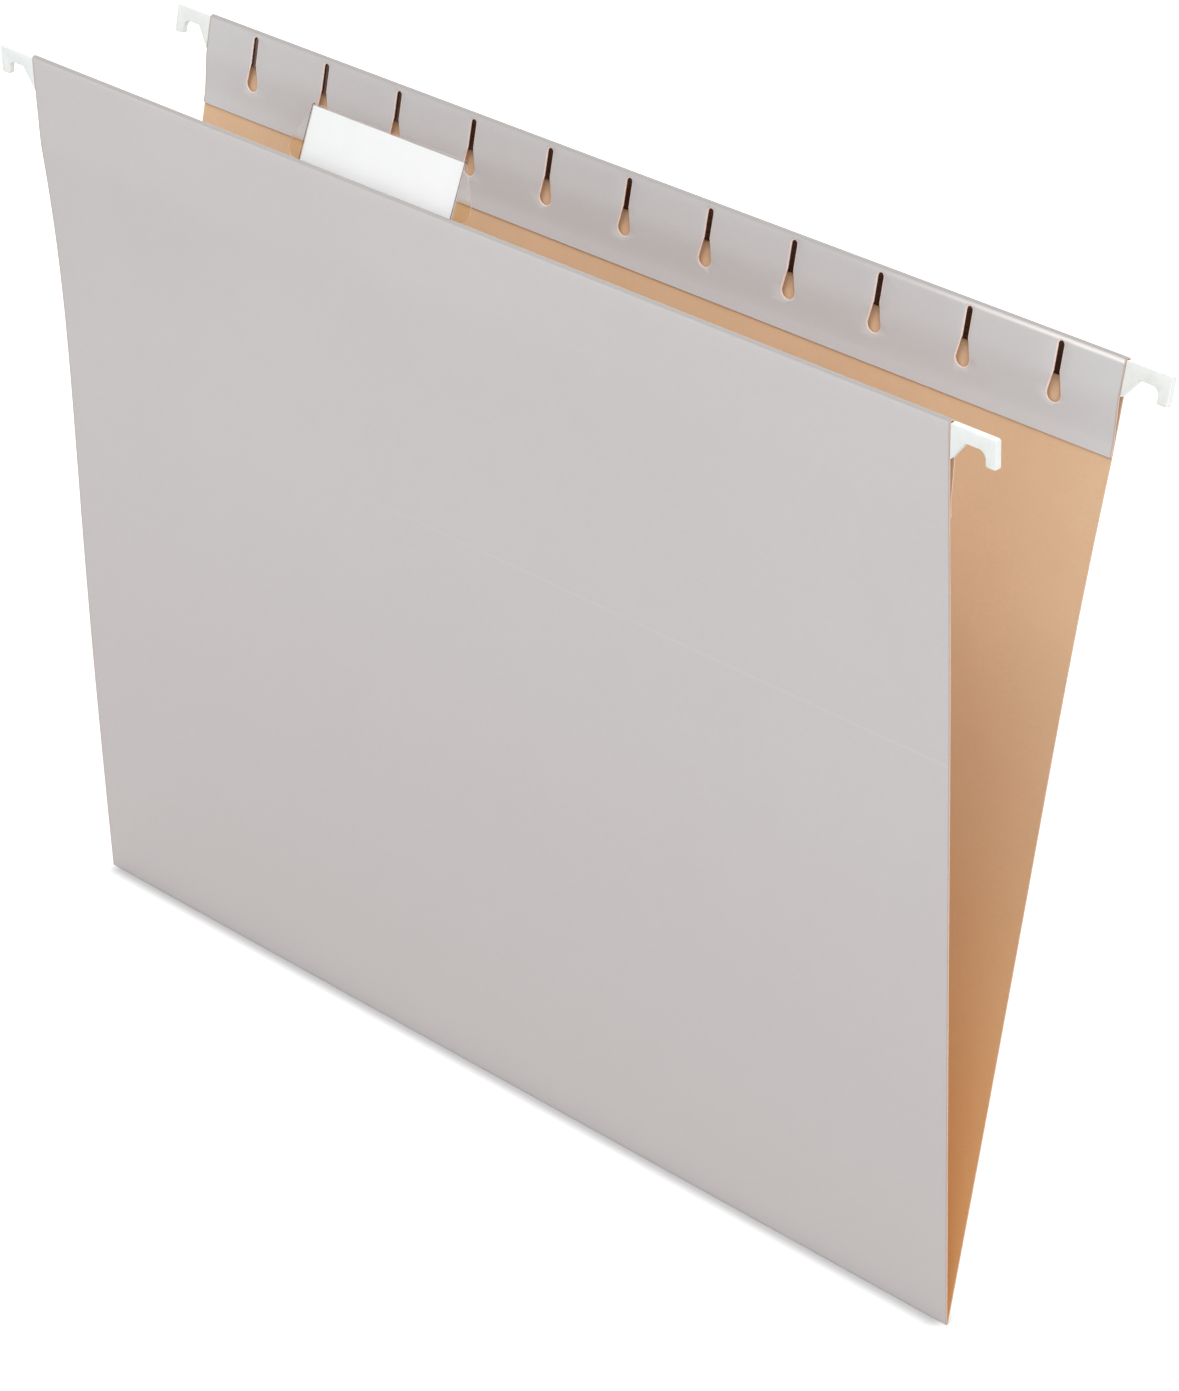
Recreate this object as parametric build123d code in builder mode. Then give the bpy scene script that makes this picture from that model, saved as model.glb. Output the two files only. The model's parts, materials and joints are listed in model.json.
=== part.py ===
"""Letter-size hanging file folder: a card sheet folded in a V, two hooked steel rods and a clear index tab.

X runs along the bottom crease, Y across the opening with the front at -Y, and Z up. The origin is under the
middle of the crease. All sizes are in millimetres and degrees.
"""

import math
import os

from build123d import *

# Card sheet
card = 0.3
sheet_width = 298.45
panel_height = 234.95
opening_angle = 14.5
crease_gap = 0.05

# Flat steel rods with a hook at each end
rod_thick = 1.0
rod_height = 8.5
rod_top_gap = 0.18
hook_reach = 12.4
hook_arm = 2.85
hook_tip_drop = 6.45
hook_tip_width = 2.4
hook_notch_width = 5.95
hook_notch_round = 2.2
hook_slant_run = 4.5
hook_end_round = 0.35
hook_tip_round = 0.35

# Plastic dipped over each hook
coat = 0.3
coat_gap = 0.1

# Sleeve at each top edge, where the card turns inward over the rod and is glued below it
rod_play = 0.1
sleeve_margin = 0.75
sleeve_slope = 9.5
bond_width = 3.5
glue = 0.1
glue_margin = 0.5

# Keyhole slots through each flap
slot_count = 11
slot_edge = 17.725
slot_top = 1.5
slot_neck = 1.7
slot_neck_lift = 0.75
slot_bulb = 4.0
slot_below = 3.0

# Clear index tab
film = 0.3
tab_slot_index = 4
tab_reach_count = 1
tab_shift = -2.6
tab_lean_angle = 24.5
foot_gap = 0.25
foot_thick = 0.6
foot_inset = 4.3
foot_below = 1.4
pivot_depth = 2.5
pivot_gap = 0.08
tongue_gap = 0.95
tongue_height = 2.4
tongue_reach = 5.0
tongue_jog = 1.3
window_width = 51.3
window_height = 15.2
window_base = 0.6
pocket_gap = 0.4
ear_corner = 7.1
ear_round = 3.6
ear_start = 0.8
ear_stop = 0.4

# Paper insert
paper = 0.2
insert_side_gap = 0.2
insert_end_gap = 0.3

# The sleeve's section: the fold over the rod, and depths below the top fold
half_opening = opening_angle / 2
crease_radius = card
sleeve_gap = rod_thick + 2 * rod_play
fold_inner = sleeve_gap / 2
fold_outer = fold_inner + card
fold_start = panel_height - fold_outer
flap_face = sleeve_gap + card
rod_drop = fold_outer - math.sqrt(fold_inner**2 - (rod_thick / 2) ** 2) + rod_top_gap
rod_bottom = rod_drop + rod_height
sleeve_depth = rod_bottom + sleeve_margin
bond_top = sleeve_depth + sleeve_slope
flap_depth = bond_top + bond_width
rod_length = sheet_width + 2 * hook_reach

# The tab's places: tongues below the rod, slots round the tongues, window above the foot
tongue_top = rod_bottom + tongue_gap
tongue_bottom = tongue_top + tongue_height
slot_neck_end = rod_bottom - slot_neck_lift
slot_bottom = tongue_bottom + slot_below
slot_pitch = (sheet_width - 2 * slot_edge) / (slot_count - 1)
foot_depth = tongue_bottom + foot_below
foot_middle = flap_face + foot_gap + foot_thick / 2
window_thick = 2 * film + pocket_gap
window_low = foot_thick / 2 + pivot_gap
pocket_low = window_low + window_base
pocket_high = window_height - film


def down(depth):
    """Height up the panel of a point that far below the top fold."""
    return panel_height - depth


def slot_place(number):
    """Place along the crease of a keyhole slot, counted from 0 at the left."""
    return (number - (slot_count - 1) / 2) * slot_pitch


def sleeve_width(depth):
    """Clear width between panel and flap at a depth below the top fold."""
    share = (depth - sleeve_depth) / (bond_top - sleeve_depth)
    return sleeve_gap - min(max(share, 0), 1) * (sleeve_gap - glue)


def turned(plane, turn):
    """A plane of the front half carried round the vertical axis, 180 for the back half."""
    return Plane(Location((0, 0, 0), (0, 0, turn)) * plane.location)


def section_plane(lean, origin):
    """Plane square to the crease: x points inward, y up along a sheet that leans back by an angle."""
    angle = math.radians(lean)
    return Plane(origin=origin, x_dir=(0, math.cos(angle), -math.sin(angle)), z_dir=(1, 0, 0))


def face_plane(lean, origin):
    """Plane in the face of a sheet that leans back by an angle: x along the crease, y up, z outward."""
    angle = math.radians(lean)
    return Plane(origin=origin, x_dir=(1, 0, 0), z_dir=(0, -math.cos(angle), math.sin(angle)))


crease = (0, 0, crease_radius)
front_section = section_plane(-half_opening, crease)
front_face = face_plane(-half_opening, crease)
tab_centre = slot_place(tab_slot_index) + tab_shift
pivot = front_section.from_local_coords((foot_middle, down(pivot_depth), tab_centre))
window_section = section_plane(tab_lean_angle - half_opening, pivot)
window_face = face_plane(tab_lean_angle - half_opening, pivot)

sides = {"front": 0, "back": 180}
os.makedirs("parts", exist_ok=True)

# Bottom fold, the round bead of the crease
with BuildPart() as bottom_fold:
    with BuildSketch(front_section):
        Circle(crease_radius)
    extrude(amount=sheet_width / 2, both=True)
bottom_fold.part.label = "bottom_fold"
export_step(bottom_fold.part, "parts/bottom_fold.step")

# Panels, from the crease to the start of the top fold
for side, turn in sides.items():
    with BuildPart() as panel:
        with BuildSketch(turned(front_section, turn)):
            Rectangle(card, fold_start, align=(Align.MAX, Align.MIN))
            Circle(crease_radius + crease_gap, mode=Mode.SUBTRACT)
        extrude(amount=sheet_width / 2, both=True)
    panel.part.label = f"{side}_panel"
    export_step(panel.part, f"parts/{side}_panel.step")

# Top folds, half round over the rods
for side, turn in sides.items():
    with BuildPart() as top_fold:
        with BuildSketch(turned(front_section, turn)):
            with Locations((fold_inner, fold_start)):
                Circle(fold_outer)
                Circle(fold_inner, mode=Mode.SUBTRACT)
                Rectangle(
                    2 * fold_outer,
                    fold_outer,
                    align=(Align.CENTER, Align.MAX),
                    mode=Mode.SUBTRACT,
                )
        extrude(amount=sheet_width / 2, both=True)
    top_fold.part.label = f"{side}_top_fold"
    export_step(top_fold.part, f"parts/{side}_top_fold.step")

# Keyhole slot, drawn round its own centre line
with BuildSketch() as keyhole:
    bulb_centre = down(slot_bottom - slot_bulb / 2)
    neck_round = down(slot_top + slot_neck / 2)
    with BuildLine():
        Polyline(
            (-slot_neck / 2, neck_round),
            (-slot_neck / 2, down(slot_neck_end)),
            (-slot_bulb / 2, bulb_centre),
            (slot_bulb / 2, bulb_centre),
            (slot_neck / 2, down(slot_neck_end)),
            (slot_neck / 2, neck_round),
            close=True,
        )
    make_face()
    with Locations((0, neck_round)):
        Circle(slot_neck / 2)
    with Locations((0, bulb_centre)):
        Circle(slot_bulb / 2)

# Flaps, straight beside the rod, then sloping to the panel where they are glued
for side, turn in sides.items():
    with BuildPart() as flap:
        with BuildSketch(turned(front_section, turn)):
            with BuildLine():
                Polyline(
                    (sleeve_gap, fold_start),
                    (sleeve_gap, down(sleeve_depth)),
                    (glue, down(bond_top)),
                    (glue, down(flap_depth)),
                    (glue + card, down(flap_depth)),
                    (glue + card, down(bond_top)),
                    (flap_face, down(sleeve_depth)),
                    (flap_face, fold_start),
                    close=True,
                )
            make_face()
        extrude(amount=sheet_width / 2, both=True)
        with BuildSketch(turned(front_face, turn)):
            with Locations([(slot_place(number), 0) for number in range(slot_count)]):
                add(keyhole.sketch)
        extrude(amount=-(flap_face + card), mode=Mode.SUBTRACT)
    flap.part.label = f"{side}_flap"
    export_step(flap.part, f"parts/{side}_flap.step")

# Glue strips between flap and panel
for side, turn in sides.items():
    with BuildPart() as glue_strip:
        with BuildSketch(turned(front_section, turn)):
            with Locations((0, down(flap_depth - glue_margin))):
                Rectangle(
                    glue,
                    flap_depth - bond_top - 2 * glue_margin,
                    align=(Align.MIN, Align.MIN),
                )
        extrude(amount=sheet_width / 2 - glue_margin, both=True)
    glue_strip.part.label = f"{side}_glue_strip"
    export_step(glue_strip.part, f"parts/{side}_glue_strip.step")

# Outline of a rod with its two hooks
with BuildSketch() as rod_outline:
    tip_inside = rod_length / 2 - hook_tip_width
    notch_inside = tip_inside - hook_notch_width
    with BuildLine():
        FilletPolyline(
            (0, down(rod_drop)),
            (rod_length / 2, down(rod_drop)),
            (rod_length / 2, down(rod_drop + hook_tip_drop)),
            (tip_inside, down(rod_drop + hook_tip_drop)),
            (tip_inside, down(rod_drop + hook_arm)),
            (notch_inside, down(rod_drop + hook_arm)),
            (notch_inside - hook_slant_run, down(rod_drop + rod_height)),
            (0, down(rod_drop + rod_height)),
            radius=[0, hook_end_round, hook_tip_round, hook_tip_round, hook_notch_round, 0, 0, 0],
            close=True,
        )
    make_face()
    mirror(about=Plane.YZ)

# Rods, in the middle of each sleeve
for side, turn in sides.items():
    rod_plane = turned(front_face.offset(-sleeve_gap / 2), turn)
    with BuildPart() as rod:
        with BuildSketch(rod_plane):
            add(rod_outline.sketch)
        extrude(amount=rod_thick / 2, both=True)
    rod.part.label = f"{side}_rod"
    export_step(rod.part, f"parts/{side}_rod.step")

# Hook coats, one over each end of each rod
for side, turn in sides.items():
    rod_plane = turned(front_face.offset(-sleeve_gap / 2), turn)
    for end, outward in (("left", -1), ("right", 1)):
        place = outward if side == "front" else -outward
        with BuildPart() as hook_coat:
            with BuildSketch(rod_plane):
                add(rod_outline.sketch)
                offset(amount=coat, kind=Kind.ARC, mode=Mode.REPLACE)
                with Locations((place * (sheet_width / 2 + coat_gap), panel_height)):
                    Rectangle(
                        hook_reach + coat,
                        2 * (rod_drop + rod_height + coat),
                        align=(Align.MIN if place > 0 else Align.MAX, Align.CENTER),
                        mode=Mode.INTERSECT,
                    )
            extrude(amount=rod_thick / 2 + coat, both=True)
            with BuildSketch(rod_plane):
                add(rod_outline.sketch)
            extrude(amount=rod_thick / 2, both=True, mode=Mode.SUBTRACT)
        hook_coat.part.label = f"{side}_{end}_hook_coat"
        export_step(hook_coat.part, f"parts/{side}_{end}_hook_coat.step")

# Tab foot, a strip behind the front flap with a tongue through a slot at each end
foot_centre = slot_place(tab_slot_index)
foot_half = tab_reach_count * slot_pitch - foot_inset
with BuildPart() as tab_foot:
    with BuildSketch(Plane(front_section.location * Location((0, 0, foot_centre)))):
        with Locations((foot_middle, down(foot_depth))):
            Rectangle(foot_thick, foot_depth - pivot_depth, align=(Align.CENTER, Align.MIN))
        with Locations((foot_middle, down(pivot_depth))):
            Circle(foot_thick / 2)
    extrude(amount=foot_half, both=True)
    tongue_plane = Plane(
        origin=front_section.from_local_coords((0, down(tongue_bottom), 0)),
        x_dir=(1, 0, 0),
        z_dir=front_section.y_dir,
    )
    tongue_middle = sleeve_width(tongue_bottom) / 2
    for outward in (-1, 1):
        slot = slot_place(tab_slot_index + outward * tab_reach_count)
        root = foot_centre + outward * (foot_half - foot_thick)
        near = slot - outward * tongue_jog / 2
        far = slot + outward * tongue_jog / 2
        tip = far + outward * tongue_reach
        with BuildSketch(tongue_plane):
            with BuildLine():
                Polyline(
                    (root, foot_middle - film / 2),
                    (near, foot_middle - film / 2),
                    (far, tongue_middle - film / 2),
                    (tip, tongue_middle - film / 2),
                    (tip, tongue_middle + film / 2),
                    (far, tongue_middle + film / 2),
                    (near, foot_middle + film / 2),
                    (root, foot_middle + film / 2),
                    close=True,
                )
            make_face()
        extrude(amount=tongue_bottom - tongue_top)
tab_foot.part.label = "tab_foot"
export_step(tab_foot.part, "parts/tab_foot.step")

# Tab window, a folded sleeve that leans back from the foot, with a rounded ear at each end
with BuildPart() as tab_window:
    with BuildSketch(window_section):
        with Locations((0, window_low)):
            Rectangle(
                window_thick,
                window_height - window_thick / 2 - window_low,
                align=(Align.CENTER, Align.MIN),
            )
        with Locations((0, window_height - window_thick / 2)):
            Circle(window_thick / 2)
        with Locations((0, pocket_low)):
            Rectangle(
                pocket_gap,
                pocket_high - pocket_low,
                align=(Align.CENTER, Align.MIN),
                mode=Mode.SUBTRACT,
            )
    extrude(amount=window_width / 2, both=True)
    with BuildSketch(window_face.offset(-pocket_gap / 2)):
        with BuildLine():
            FilletPolyline(
                (window_width / 2, window_low + ear_start),
                (window_width / 2 + ear_corner, window_low + ear_start),
                (window_width / 2, window_height - ear_stop),
                radius=[0, ear_round, 0],
                close=True,
            )
        make_face()
        mirror(about=Plane.YZ)
    extrude(amount=-film)
tab_window.part.label = "tab_window"
export_step(tab_window.part, "parts/tab_window.step")

# Paper insert, loose in the window's sleeve
with BuildPart() as tab_insert:
    with BuildSketch(window_section):
        with Locations((0, pocket_low + insert_end_gap)):
            Rectangle(
                paper,
                pocket_high - pocket_low - 2 * insert_end_gap,
                align=(Align.CENTER, Align.MIN),
            )
    extrude(amount=window_width / 2 - insert_side_gap, both=True)
tab_insert.part.label = "tab_insert"
export_step(tab_insert.part, "parts/tab_insert.step")
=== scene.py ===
"""Letter-size hanging file folder: two-tone card folded in a V, hooked steel rods and a clear index tab.

Sizes are in millimetres and degrees. Each half of the folder is modelled in its own frame, with x along the
crease, y up the panel from the crease and z outward, and is then placed in metres.
"""

import json
import logging
import math
from dataclasses import dataclass
from enum import Enum
from typing import Callable, Iterable

import bpy
from mathutils import Matrix, Vector

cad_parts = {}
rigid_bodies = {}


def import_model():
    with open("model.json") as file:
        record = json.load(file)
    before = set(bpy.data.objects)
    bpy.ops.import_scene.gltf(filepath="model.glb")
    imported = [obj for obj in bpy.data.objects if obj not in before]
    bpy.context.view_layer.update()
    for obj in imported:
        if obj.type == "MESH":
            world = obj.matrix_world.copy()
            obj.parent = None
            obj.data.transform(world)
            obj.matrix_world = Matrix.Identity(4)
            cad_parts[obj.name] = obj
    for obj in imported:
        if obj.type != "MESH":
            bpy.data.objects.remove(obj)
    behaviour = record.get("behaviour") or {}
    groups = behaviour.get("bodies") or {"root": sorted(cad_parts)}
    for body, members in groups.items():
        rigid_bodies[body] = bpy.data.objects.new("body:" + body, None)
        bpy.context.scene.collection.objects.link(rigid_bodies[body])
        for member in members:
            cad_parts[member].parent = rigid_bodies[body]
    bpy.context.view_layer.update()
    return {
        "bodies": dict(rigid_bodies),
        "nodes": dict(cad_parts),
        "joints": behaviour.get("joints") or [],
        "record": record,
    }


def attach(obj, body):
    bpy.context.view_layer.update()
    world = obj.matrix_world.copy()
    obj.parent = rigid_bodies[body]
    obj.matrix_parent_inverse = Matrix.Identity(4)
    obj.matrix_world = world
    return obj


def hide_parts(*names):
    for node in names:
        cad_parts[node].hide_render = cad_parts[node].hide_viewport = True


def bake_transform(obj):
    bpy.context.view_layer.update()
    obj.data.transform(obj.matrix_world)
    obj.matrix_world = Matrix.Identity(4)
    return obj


log = logging.getLogger("folder")

Colour = tuple[float, float, float]
Place = tuple[float, float, float]
Section = list[tuple[float, float]]
Material = bpy.types.Material
Piece = bpy.types.Object
Socket = bpy.types.NodeSocket

MILLIMETRE = 0.001
# Places closer than this, in millimetres, count as the same.
NEAR = 0.001
# Most values of a noise pattern lie between these.
NOISE_MIDDLE = (0.3, 0.7)
WHITE = (1, 1, 1, 1)


class Choice(Enum):
    """A choice whose name stands in the names of pieces."""

    @property
    def word(self) -> str:
        """The choice's name in small letters."""
        return self.name.lower()


class Side(Choice):
    """The two halves of the folder, each with its turn about the vertical."""

    FRONT = 0.0
    BACK = 180.0


class End(Choice):
    """The two ends of a rod, with the direction along the crease seen from the front."""

    LEFT = -1
    RIGHT = 1


class Skin(Enum):
    """Material slots of a card sheet, in order."""

    OUTSIDE = 0
    INSIDE = 1
    CUT = 2
    FLAP = 3
    RIM = 4


class Film(Enum):
    """Material slots of the tab's window, in order."""

    FRONT = 0
    EDGE = 1
    BACK = 2
    EAR_EDGE = 3


def srgb(red: float, green: float, blue: float) -> tuple[float, float, float, float]:
    """Turns a display colour into the linear colour that shaders take.

    Args:
        red: Red from 0 to 255.
        green: Green from 0 to 255.
        blue: Blue from 0 to 255.

    Returns:
        Linear red, green, blue and a full alpha.
    """

    def linear(value: float) -> float:
        """One channel from display to linear, by the standard curve."""
        share = value / 255
        return share / 12.92 if share <= 0.04045 else ((share + 0.055) / 1.055) ** 2.4

    return linear(red), linear(green), linear(blue), 1.0


def arc(centre: tuple[float, float], radius: float, start: float, turn: float, segments: int) -> Section:
    """Spaces places evenly along an arc.

    Args:
        centre: Its centre.
        radius: Its radius.
        start: Angle of its first place, in radians.
        turn: Angle from its first place to its last, in radians.
        segments: Number of straight parts.

    Returns:
        The places in order, with both ends.
    """
    angles = [start + turn * step / segments for step in range(segments + 1)]
    return [(centre[0] + radius * math.cos(angle), centre[1] + radius * math.sin(angle)) for angle in angles]


class Wiring:
    """Shader nodes being joined up, in a material or in the world."""

    def __init__(self, tree: bpy.types.NodeTree) -> None:
        """Takes a tree that holds its first nodes."""
        self.tree = tree

    def add(self, kind: str, **settings: object) -> bpy.types.Node:
        """Adds a node.

        Args:
            kind: The node's type name.
            settings: Values for the node's own properties.

        Returns:
            The new node.
        """
        node = self.tree.nodes.new(kind)
        for name, value in settings.items():
            setattr(node, name, value)
        return node

    def link(self, source: Socket, target: Socket) -> None:
        """Joins two sockets."""
        self.tree.links.new(source, target)

    def work(self, operation: str, *values: Socket | float, clamp: bool = False) -> Socket:
        """Works out one value from others.

        Args:
            operation: Name of the sum.
            values: Its sockets or plain numbers, in order.
            clamp: Whether the result stays between 0 and 1.

        Returns:
            The result's socket.
        """
        node = self.add("ShaderNodeMath", operation=operation, use_clamp=clamp)
        for value, target in zip(values, node.inputs):
            if isinstance(value, Socket):
                self.link(value, target)
            else:
                target.default_value = value
        return node.outputs["Value"]

    def seen(self) -> Socket:
        """Picks the rays that show the background: the camera's, reflected ones and those through film.

        Returns:
            A socket that is 1 for those rays.
        """
        rays = self.add("ShaderNodeLightPath").outputs
        either = self.work("MAXIMUM", rays["Is Camera Ray"], rays["Is Glossy Ray"])
        return self.work("MAXIMUM", either, rays["Is Transmission Ray"])


class Recipe(Wiring):
    """A material being written, with its shader ready to take links."""

    def __init__(self, name: str) -> None:
        """Starts a material with a plain shader.

        Args:
            name: The material's name.
        """
        self.material = bpy.data.materials.new(name)
        self.material.use_nodes = True
        super().__init__(self.material.node_tree)
        self.shader = self.tree.nodes["Principled BSDF"]
        self.place = self.add("ShaderNodeTexCoord").outputs["Object"]

    def set(self, **values: object) -> None:
        """Sets constant values on the shader, with underscores for the spaces in a socket's name."""
        for name, value in values.items():
            self.shader.inputs[name.replace("_", " ")].default_value = value

    def noise(
        self, scale: float, stretch: Place = (1, 1, 1), detail: float = 3.0, rough: float = 0.55
    ) -> Socket:
        """Adds a noise pattern in the object's own metres.

        Args:
            scale: Waves per metre.
            stretch: Further scale along each axis.
            detail: Octaves of finer noise.
            rough: Share that each octave keeps.

        Returns:
            The pattern's value socket.
        """
        mapping = self.add("ShaderNodeMapping")
        mapping.inputs["Scale"].default_value = stretch
        self.link(self.place, mapping.inputs["Vector"])
        pattern = self.add("ShaderNodeTexNoise")
        pattern.inputs["Scale"].default_value = scale
        pattern.inputs["Detail"].default_value = detail
        pattern.inputs["Roughness"].default_value = rough
        self.link(mapping.outputs["Vector"], pattern.inputs["Vector"])
        return pattern.outputs["Fac"]

    def shade(
        self, value: Socket, dark: Colour, light: Colour, stops: tuple[float, float] = NOISE_MIDDLE
    ) -> Socket:
        """Turns a value into a colour between two display colours.

        Args:
            value: The value socket.
            dark: Colour at low values, from 0 to 255.
            light: Colour at high values, from 0 to 255.
            stops: The values at which the two colours are full.

        Returns:
            The colour socket.
        """
        node = self.add("ShaderNodeValToRGB")
        for element, stop, colour in zip(node.color_ramp.elements, stops, (dark, light)):
            element.position = stop
            element.color = srgb(*colour)
        self.link(value, node.inputs["Fac"])
        return node.outputs["Color"]

    def remap(
        self,
        value: Socket,
        before: tuple[float, float],
        after: tuple[float, float] = (0.0, 1.0),
        curve: str = "SMOOTHSTEP",
    ) -> Socket:
        """Carries a value from one range to another.

        Args:
            value: The value socket.
            before: The range that it comes from.
            after: The range that it goes to.
            curve: How it moves between the ends.

        Returns:
            The new value socket.
        """
        node = self.add("ShaderNodeMapRange", interpolation_type=curve)
        for name, number in zip(("From Min", "From Max", "To Min", "To Max"), before + after):
            node.inputs[name].default_value = number
        self.link(value, node.inputs["Value"])
        return node.outputs["Result"]

    def span(self, noise: Socket, low: float, high: float) -> Socket:
        """Spreads the middle of a noise over a range of values."""
        return self.remap(noise, NOISE_MIDDLE, (low, high), "LINEAR")

    def axis(self, name: str) -> Socket:
        """Picks the place along one axis, in metres.

        Args:
            name: X, Y or Z.

        Returns:
            The place's value socket.
        """
        split = self.add("ShaderNodeSeparateXYZ")
        self.link(self.place, split.inputs["Vector"])
        return split.outputs[name]

    def length(self, vector: Socket) -> Socket:
        """Measures a vector.

        Args:
            vector: The vector socket.

        Returns:
            The length's value socket.
        """
        node = self.add("ShaderNodeVectorMath", operation="LENGTH")
        self.link(vector, node.inputs[0])
        return node.outputs["Value"]

    def along(self, axis: str, low: float, high: float, mirrored: bool = False) -> Socket:
        """Measures a place along one axis as a share from 0 to 1.

        Args:
            axis: X, Y or Z.
            low: Place in millimetres where the share is 0.
            high: Place in millimetres where the share is 1.
            mirrored: Whether both sides of the middle count alike.

        Returns:
            The share's value socket.
        """
        place = self.axis(axis)
        if mirrored:
            place = self.work("ABSOLUTE", place)
        return self.remap(place, (low * MILLIMETRE, high * MILLIMETRE))

    def line(self, height: float, width: float, start: float, full: float) -> Socket:
        """Measures a level line that grows in from one end.

        Args:
            height: Its height in millimetres.
            width: How far it fades out above and below.
            start: Place along the crease where it starts to show.
            full: Place along the crease where it shows fully.

        Returns:
            The line's share as a value socket.
        """
        below = self.along("Z", height - width, height)
        above = self.along("Z", height + width, height)
        return self.work("MULTIPLY", self.work("MULTIPLY", below, above), self.along("X", start, full))

    def tint(self, colour: Socket, value: Socket) -> Socket:
        """Multiplies a colour by a grey value.

        Args:
            colour: The colour socket.
            value: The grey value socket.

        Returns:
            The multiplied colour socket.
        """
        node = self.add("ShaderNodeMix", data_type="RGBA", blend_type="MULTIPLY")
        node.inputs["Factor"].default_value = 1.0
        self.link(colour, node.inputs["A"])
        self.link(value, node.inputs["B"])
        return node.outputs["Result"]

    def blend(self, base: Socket, top: Colour, share: Socket) -> Socket:
        """Lays a display colour over another.

        Args:
            base: The colour socket below.
            top: The colour above, from 0 to 255.
            share: How much of the colour above shows.

        Returns:
            The mixed colour socket.
        """
        node = self.add("ShaderNodeMix", data_type="RGBA")
        self.link(share, node.inputs["Factor"])
        self.link(base, node.inputs["A"])
        node.inputs["B"].default_value = srgb(*top)
        return node.outputs["Result"]

    def surface(
        self, colour: Socket, pattern: Socket, rough: tuple[float, float], depth: float, strength: float = 1.0
    ) -> None:
        """Gives the shader its colour, with a roughness and a relief that follow one fine pattern.

        Args:
            colour: The colour socket.
            pattern: The pattern's value socket.
            rough: Roughness at the pattern's dark and light parts.
            depth: Height of the relief in millimetres.
            strength: Share of the relief's full effect.
        """
        self.link(colour, self.shader.inputs["Base Color"])
        self.link(self.span(pattern, *rough), self.shader.inputs["Roughness"])
        bump = self.add("ShaderNodeBump")
        bump.inputs["Strength"].default_value = strength
        bump.inputs["Distance"].default_value = depth * MILLIMETRE
        self.link(pattern, bump.inputs["Height"])
        self.link(bump.outputs["Normal"], self.shader.inputs["Normal"])


@dataclass(frozen=True)
class FibreFinish:
    """Pressed fibre board or paper: cloudy colour, fine fibres along the sheet and a dry surface.

    A worn colour shows at the card's ends. A painted shade colour takes over towards the crease: darker low
    on the outside, darker and warmer low in the pocket. A fold colour of painted shade darkens the top fold,
    a painted highlight runs beside that fold at its right end, and a painted highlight line marks a faint
    crease across the panel.
    """

    name: str
    dark: Colour
    light: Colour
    cloud: float = 22.0
    fleck: float = 1500.0
    fleck_contrast: float = 0.05
    fibre_stretch: Place = (0.35, 1.0, 1.0)
    rough: tuple[float, float] = (0.62, 0.8)
    specular: float = 0.3
    grain_depth: float = 0.012
    worn: Colour | None = None
    worn_end: float = 149.2
    worn_reach: float = 0.55
    # Painted shade towards the crease, and how high it reaches in millimetres.
    deep: Colour | None = None
    deep_reach: float = 150.0
    # Painted shade along the top fold, whose place and size follow.
    fold: Colour | None = None
    fold_top: float = 233.45
    fold_radius: float = 0.9
    fold_crown: float = 0.15
    # Painted highlight along the top fold's shoulder, with its width and where along the crease it starts and
    # shows fully.
    scuff: Colour | None = None
    scuff_width: float = 0.75
    scuff_from: float = 62.0
    scuff_full: float = 138.0
    # Painted highlight along a faint crease across the panel, with its height, width and where along the
    # crease it starts and shows fully.
    score: Colour | None = None
    score_height: float = 150.0
    score_width: float = 0.45
    score_from: float = -80.0
    score_full: float = 20.0

    def make(self) -> Material:
        """Writes the material.

        Returns:
            The finished material.
        """
        recipe = Recipe(self.name)
        cloud = recipe.noise(self.cloud, detail=4.0)
        fleck = recipe.noise(self.fleck, self.fibre_stretch, detail=4.0, rough=0.65)
        colour = recipe.shade(cloud, self.dark, self.light)
        # Painted shade towards the crease.
        if self.deep:
            colour = recipe.blend(colour, self.deep, recipe.along("Z", self.deep_reach, 0.0))
        edge = self.fold_top - self.fold_radius
        # Painted shade along the top fold.
        if self.fold:
            colour = recipe.blend(colour, self.fold, recipe.along("Z", edge, self.fold_top - self.fold_crown))
        # Painted highlight beside the top fold.
        if self.scuff:
            line = recipe.line(edge, self.scuff_width, self.scuff_from, self.scuff_full)
            colour = recipe.blend(colour, self.scuff, line)
        # Painted highlight along the faint crease.
        if self.score:
            line = recipe.line(self.score_height, self.score_width, self.score_from, self.score_full)
            colour = recipe.blend(colour, self.score, line)
        if self.worn:
            ends = recipe.along("X", self.worn_end - self.worn_reach, self.worn_end, mirrored=True)
            colour = recipe.blend(colour, self.worn, ends)
        flecked = recipe.tint(colour, recipe.span(fleck, 1 - self.fleck_contrast, 1.0))
        recipe.surface(flecked, fleck, self.rough, self.grain_depth)
        recipe.set(Specular_IOR_Level=self.specular)
        return recipe.material


@dataclass(frozen=True)
class SteelFinish:
    """Rolled spring steel strip, with fine lines along its length and faint stains."""

    name: str
    dark: Colour
    light: Colour
    stain: float = 60.0
    line: float = 2600.0
    line_stretch: Place = (0.02, 1.0, 1.0)
    line_contrast: float = 0.2
    line_depth: float = 0.004
    rough: tuple[float, float] = (0.22, 0.4)

    def make(self) -> Material:
        """Writes the material.

        Returns:
            The finished material.
        """
        recipe = Recipe(self.name)
        lines = recipe.noise(self.line, self.line_stretch)
        colour = recipe.shade(recipe.noise(self.stain, detail=4.0), self.dark, self.light)
        lined = recipe.tint(colour, recipe.span(lines, 1 - self.line_contrast, 1.0))
        recipe.surface(lined, lines, self.rough, self.line_depth)
        recipe.set(Metallic=1.0)
        return recipe.material


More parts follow.
